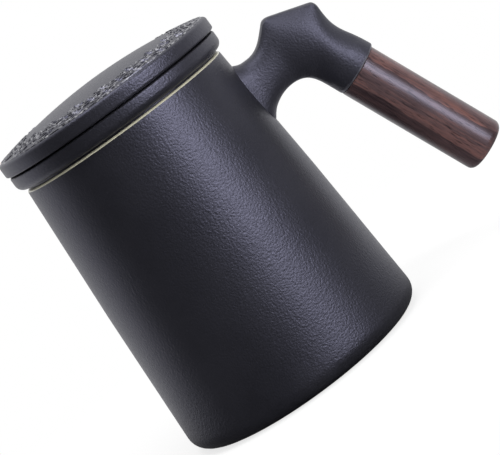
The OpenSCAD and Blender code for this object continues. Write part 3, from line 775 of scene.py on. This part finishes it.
class MUG_OT_lid(bpy.types.Operator):
    """Domed lid with a locating rim and a ring of raised waves"""
    bl_idname = "tea_mug.lid"
    bl_label = "Lid"

    def execute(self, context):
        s = context.scene.mug_lid
        infuser, cup = context.scene.mug_infuser, context.scene.mug_cup
        seat = cup.lip_diameter / 2 - infuser.seat_inset
        flange_z, top = infuser_high.z, lid_high.z
        radius = lid_high.y
        rim = cup.lip_diameter / 2 - cup.wall - infuser.neck_gap - infuser.wall - s.rim_gap
        dome = (radius ** 2 + s.rise ** 2) / (2 * s.rise)
        centre = Vector((0, 0, top - dome))

        def dome_z(r):
            return centre.z + math.sqrt(dome ** 2 - r ** 2)

        low = flange_z + s.lift
        rim_low = flange_z - s.rim_depth
        hollow = rim - s.rim_wall
        hollow_top = top - s.thickness
        bm = bmesh.new()
        # the dome's arc is turned from one point at its crown
        crown = bm.verts.new((0, 0, top))
        sweep = math.asin(radius / dome)
        arc = bmesh.ops.spin(bm, geom=[crown], cent=centre, axis=(0, 1, 0), angle=sweep, steps=24)
        edge = arc["geom_last"][0]
        outline(bm, [(radius, edge.co.z, s.top_round), (radius, low, s.low_round),
                     (seat, low, 0.2 * MM), (seat, flange_z, 0.2 * MM), (rim, flange_z, 0.4 * MM),
                     (rim, rim_low, 1.0 * MM), (hollow, rim_low, 0.8 * MM),
                     (hollow, hollow_top, 2.5 * MM), (0, hollow_top, 0)], edge)
        turn(bm, 160)
        paint(bm, lambda r, z, lean: abs(z - flange_z) < 0.02 * MM and r > rim, 1)
        glaze = black_glaze("matt_black_glaze_lid", 1.1)
        finish_piece(bm, "lid_dome", [glaze, bare_clay()], "lid", "lid_glaze", "lid")

        # raised waves: overlapping scales, smaller towards the middle, so the pattern keeps its form
        bm = bmesh.new()
        half_turn = math.pi / s.wave_count
        sunk = 0.3 * MM

        def section(half_width, height):
            """Rounded section of a raised line: pairs of sideways place and height."""
            out, up = 0.55 * half_width, 0.75 * height
            return (-half_width, -sunk), (-out, up), (0, height), (out, up), (half_width, -sunk)

        def ridge(made_in, at, size, spread, half_width):
            """A raised line along a circle, to both sides of straight out."""
            first, edges = closed_line(made_in, [at + Vector((0, size + w, z)) for w, z in
                                                 section(half_width, s.wave_height)])
            bmesh.ops.rotate(made_in, verts=first, cent=at, matrix=Matrix.Rotation(-spread, 3, "Z"))
            made = bmesh.ops.spin(made_in, geom=first + edges, cent=at, axis=(0, 0, 1),
                                  angle=2 * spread, steps=8)
            bmesh.ops.edgeloop_fill(made_in, edges=edges)
            bmesh.ops.edgeloop_fill(made_in, edges=[g for g in made["geom_last"]
                                                    if isinstance(g, bmesh.types.BMEdge)])

        radius_now, row = s.wave_outer / (1 + math.tan(half_turn)), 0
        while radius_now > s.wave_inner:
            wave = bmesh.new()
            size = radius_now * math.tan(half_turn)
            # three arcs in each scale: share of its size, and degrees to both sides
            for share, spread in ((0.93, 60), (0.56, 55), (0.22, 54)):
                ridge(wave, Vector((0, radius_now, 0)), size * share, math.radians(spread),
                      0.09 * size)
            bmesh.ops.rotate(wave, verts=wave.verts[:], cent=(0, 0, 0),
                             matrix=Matrix.Rotation(half_turn * row, 3, "Z"))
            bmesh.ops.spin(wave, geom=wave.verts[:] + wave.edges[:] + wave.faces[:], cent=(0, 0, 0),
                           axis=(0, 0, 1), angle=2 * math.pi * (1 - 1 / s.wave_count),
                           steps=s.wave_count - 1, use_duplicate=True)
            ring_mesh = new_mesh(wave, "ring")
            bm.from_mesh(ring_mesh)
            bpy.data.meshes.remove(ring_mesh)
            radius_now /= 1 + half_turn / 2
            row += 1
        for v in bm.verts:
            v.co.z += dome_z(math.hypot(v.co.x, v.co.y))
        # a plain raised line closes the pattern off towards the lid's edge
        half_line = 0.4 * MM
        line_r = s.wave_outer + half_line
        first, edges = closed_line(bm, [(line_r + w, 0, dome_z(line_r) + z) for w, z in
                                        section(half_line, 0.8 * s.wave_height)])
        bmesh.ops.spin(bm, geom=first + edges, cent=(0, 0, 0), axis=(0, 0, 1),
                       angle=2 * math.pi, steps=160, use_merge=True)
        bmesh.ops.remove_doubles(bm, verts=bm.verts[:], dist=1e-6)
        bmesh.ops.recalc_face_normals(bm, faces=bm.faces[:])
        finish_piece(bm, "lid_waves", [wear_and_painted_glint_glaze()], "lid", "lid_glaze")
        return {"FINISHED"}


class MUG_OT_grip(bpy.types.Operator):
    """Turned walnut grip and the plug that closes its end"""
    bl_idname = "tea_mug.grip"
    bl_label = "Walnut grip"

    def execute(self, context):
        s = context.scene.mug_handle
        place = grip_place(s)
        radius, pocket, bore = s.grip_diameter / 2, s.pocket_diameter / 2, s.bore_diameter / 2
        end = s.grip_length
        seat = end - s.plug_thickness - s.head_room
        bm = turned([
            (bore, 0, 0), (radius, 0, 0.35 * MM), (radius, end, s.grip_round),
            (pocket, end, 0.15 * MM), (pocket, seat, 0), (bore, seat, 0)], steps=96, spacing=3 * MM)
        bmesh.ops.transform(bm, matrix=place, verts=bm.verts[:])
        finish_piece(bm, "walnut_grip", [walnut("oiled_walnut", s, False)], "cup", "walnut",
                     "wood_grip")
        plug = pocket - 0.03 * MM
        bm = turned([(0, end - s.plug_thickness, 0), (plug, end - s.plug_thickness, 0.2 * MM),
                     (plug, end, 0.25 * MM), (0, end, 0)], steps=64)
        bmesh.ops.transform(bm, matrix=place, verts=bm.verts[:])
        finish_piece(bm, "walnut_plug", [walnut("oiled_walnut_plug", s, True)], "cup", "walnut_plug",
                     "grip_plug")
        return {"FINISHED"}


class MUG_OT_hardware(bpy.types.Operator):
    """Finishes of the screw, washer, threaded sleeve and resin that hold the grip"""
    bl_idname = "tea_mug.hardware"
    bl_label = "Hidden hardware"

    def execute(self, context):
        colours = context.scene.mug_colours
        steel = turned_metal("turned_stainless_steel", colours.steel, 0.24)
        finishes = {"grip_screw": steel, "grip_washer": steel,
                    "anchor_sleeve": turned_metal("turned_brass", colours.brass, 0.3),
                    "anchor_resin": cured_resin()}
        for node, material in finishes.items():
            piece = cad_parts[node]
            piece.data.materials.clear()
            piece.data.materials.append(material)
        return {"FINISHED"}


# ---------------- stage

def softbox(name, azimuth, elevation, distance, width, height, power):
    """A soft rectangular lamp, aimed at the mug's middle. Azimuth 0 is in front, 90 to the right."""
    data = bpy.data.lights.new(name, "AREA")
    data.shape, data.size, data.size_y = "RECTANGLE", width, height
    data.energy = power
    lamp = bpy.data.objects.new(name, data)
    a, e = math.radians(azimuth), math.radians(elevation)
    aim = Vector((0.01, 0, 0.055))
    lamp.location = aim + distance * Vector((math.sin(a) * math.cos(e), -math.cos(a) * math.cos(e),
                                             math.sin(e)))
    lamp.rotation_euler = (lamp.location - aim).to_track_quat("Z", "Y").to_euler()
    bpy.context.scene.collection.objects.link(lamp)


def behind_mug(nodes, low, high):
    """0 in front of the mug, nearly 1 behind it, with a soft change from low to high along Y."""
    place = nodes.add("ShaderNodeSeparateXYZ", Vector=nodes.place)
    return nodes.add("ShaderNodeMapRange", {"interpolation_type": "SMOOTHSTEP"},
                     Value=place.outputs["Y"], From_Min=low, From_Max=high, To_Max=0.95)


def mirrored(nodes, path):
    """1 for what shows in a mirror or through glass."""
    return nodes.add("ShaderNodeMath", {"operation": "MAXIMUM"}, i0=path["Is Glossy Ray"],
                     i1=path["Is Transmission Ray"])


class MUG_OT_stage(bpy.types.Operator):
    """Pale floor, soft studio lamps, white surroundings and the camera"""
    bl_idname = "tea_mug.stage"
    bl_label = "Stage"

    def execute(self, context):
        scene = context.scene
        bm = bmesh.new()
        bmesh.ops.create_circle(bm, cap_ends=True, radius=4, segments=96)
        bmesh.ops.translate(bm, verts=bm.verts[:], vec=(0, 0, -0.02 * MM))
        floor = new_object(bm, "floor")
        nodes, colours = new_material("matt_studio_floor")
        # pale paper near the mug, pure white further out, so that no edge of the floor shows;
        # the mug mirrors the white behind it, and a black flag in front of it
        nodes.set(nodes.shader, Base_Color=colours.floor, Roughness=0.9, Specular_IOR_Level=0.1)
        path = nodes.add("ShaderNodeLightPath").outputs
        away = nodes.add("ShaderNodeVectorMath", {"operation": "LENGTH"}, i0=nodes.place)
        fade = nodes.add("ShaderNodeMapRange", {"interpolation_type": "SMOOTHSTEP"},
                         Value=away.outputs["Value"], From_Min=0.07, From_Max=0.24, To_Min=0.75)
        straight = nodes.add("ShaderNodeMath", {"operation": "MULTIPLY"}, i0=fade,
                             i1=path["Is Camera Ray"])
        share = nodes.add("ShaderNodeMath", {"operation": "MAXIMUM"}, i0=straight,
                          i1=mirrored(nodes, path))
        level = nodes.add("ShaderNodeMath", {"operation": "MAXIMUM"},
                          i0=behind_mug(nodes, -0.05, 0.12), i1=path["Is Camera Ray"])
        white = nodes.add("ShaderNodeEmission", Color=(1, 1, 1), Strength=level)
        both = nodes.add("ShaderNodeMixShader", i0=share, i1=nodes.shader, i2=white)
        nodes.set(nodes.tree.nodes["Material Output"], Surface=both)
        floor.data.materials.append(nodes.owner)

        world = bpy.data.worlds.new("studio")
        nodes = Nodes(world, "Background", "Generated")
        path = nodes.add("ShaderNodeLightPath").outputs
        seen = nodes.add("ShaderNodeMath", {"operation": "MULTIPLY_ADD"},
                         i0=behind_mug(nodes, -0.1, 0.6), i1=mirrored(nodes, path),
                         i2=path["Is Camera Ray"])
        soft = nodes.add("ShaderNodeMath", {"operation": "MULTIPLY_ADD"}, i0=path["Is Diffuse Ray"],
                         i1=0.8, i2=seen)
        nodes.set(nodes.shader, Color=(1, 1, 1), Strength=soft)
        scene.world = world

        softbox("key_right", 39, 12, distance=1.1, width=0.45, height=1.3, power=15)
        softbox("top", 0, 80, distance=1.2, width=0.8, height=0.8, power=8)

        data = bpy.data.cameras.new("camera")
        data.sensor_width, data.lens = 36, 172.5
        camera = bpy.data.objects.new("camera", data)
        camera.location = (0, -0.7556, 0.15077)
        heading, tilt, roll = -0.934, 82.298, -36.32
        turn_to = Matrix.Identity(3)
        for degrees, axis in ((heading, "Z"), (tilt, "X"), (roll, "Z")):
            turn_to = turn_to @ Matrix.Rotation(math.radians(degrees), 3, axis)
        camera.rotation_euler = turn_to.to_euler()
        scene.collection.objects.link(camera)
        scene.camera = camera
        scene.view_settings.view_transform = "Standard"
        return {"FINISHED"}


# ---------------- panel and registration

GROUPS = (("mug_cup", CupSizes), ("mug_infuser", InfuserSizes), ("mug_lid", LidSizes),
          ("mug_handle", HandleSizes), ("mug_colours", MugColours))
STEPS = (MUG_OT_cup, MUG_OT_elbow, MUG_OT_infuser, MUG_OT_lid, MUG_OT_grip, MUG_OT_hardware,
         MUG_OT_stage)


class MUG_PT_panel(bpy.types.Panel):
    """Sizes, colours and pieces of the tea mug"""
    bl_idname = "MUG_PT_panel"
    bl_label = "Tea mug"
    bl_space_type = "VIEW_3D"
    bl_region_type = "UI"
    bl_category = "Tea mug"

    def draw(self, context):
        for step in STEPS:
            self.layout.operator(step.bl_idname)
        for name, group in GROUPS:
            box = self.layout.box()
            for key in group.__annotations__:
                box.prop(getattr(context.scene, name), key)


def register():
    for _, group in GROUPS:
        bpy.utils.register_class(group)
    for step in STEPS + (MUG_PT_panel,):
        bpy.utils.register_class(step)
    for name, group in GROUPS:
        setattr(bpy.types.Scene, name, bpy.props.PointerProperty(type=group))


def unregister():
    for name, _ in GROUPS:
        delattr(bpy.types.Scene, name)
    for step in reversed(STEPS + (MUG_PT_panel,)):
        bpy.utils.unregister_class(step)
    for _, group in GROUPS:
        bpy.utils.unregister_class(group)


def main():
    register()
    for step in STEPS:
        group, name = step.bl_idname.split(".")
        getattr(getattr(bpy.ops, group), name)()


if __name__ == "__main__":
    main()
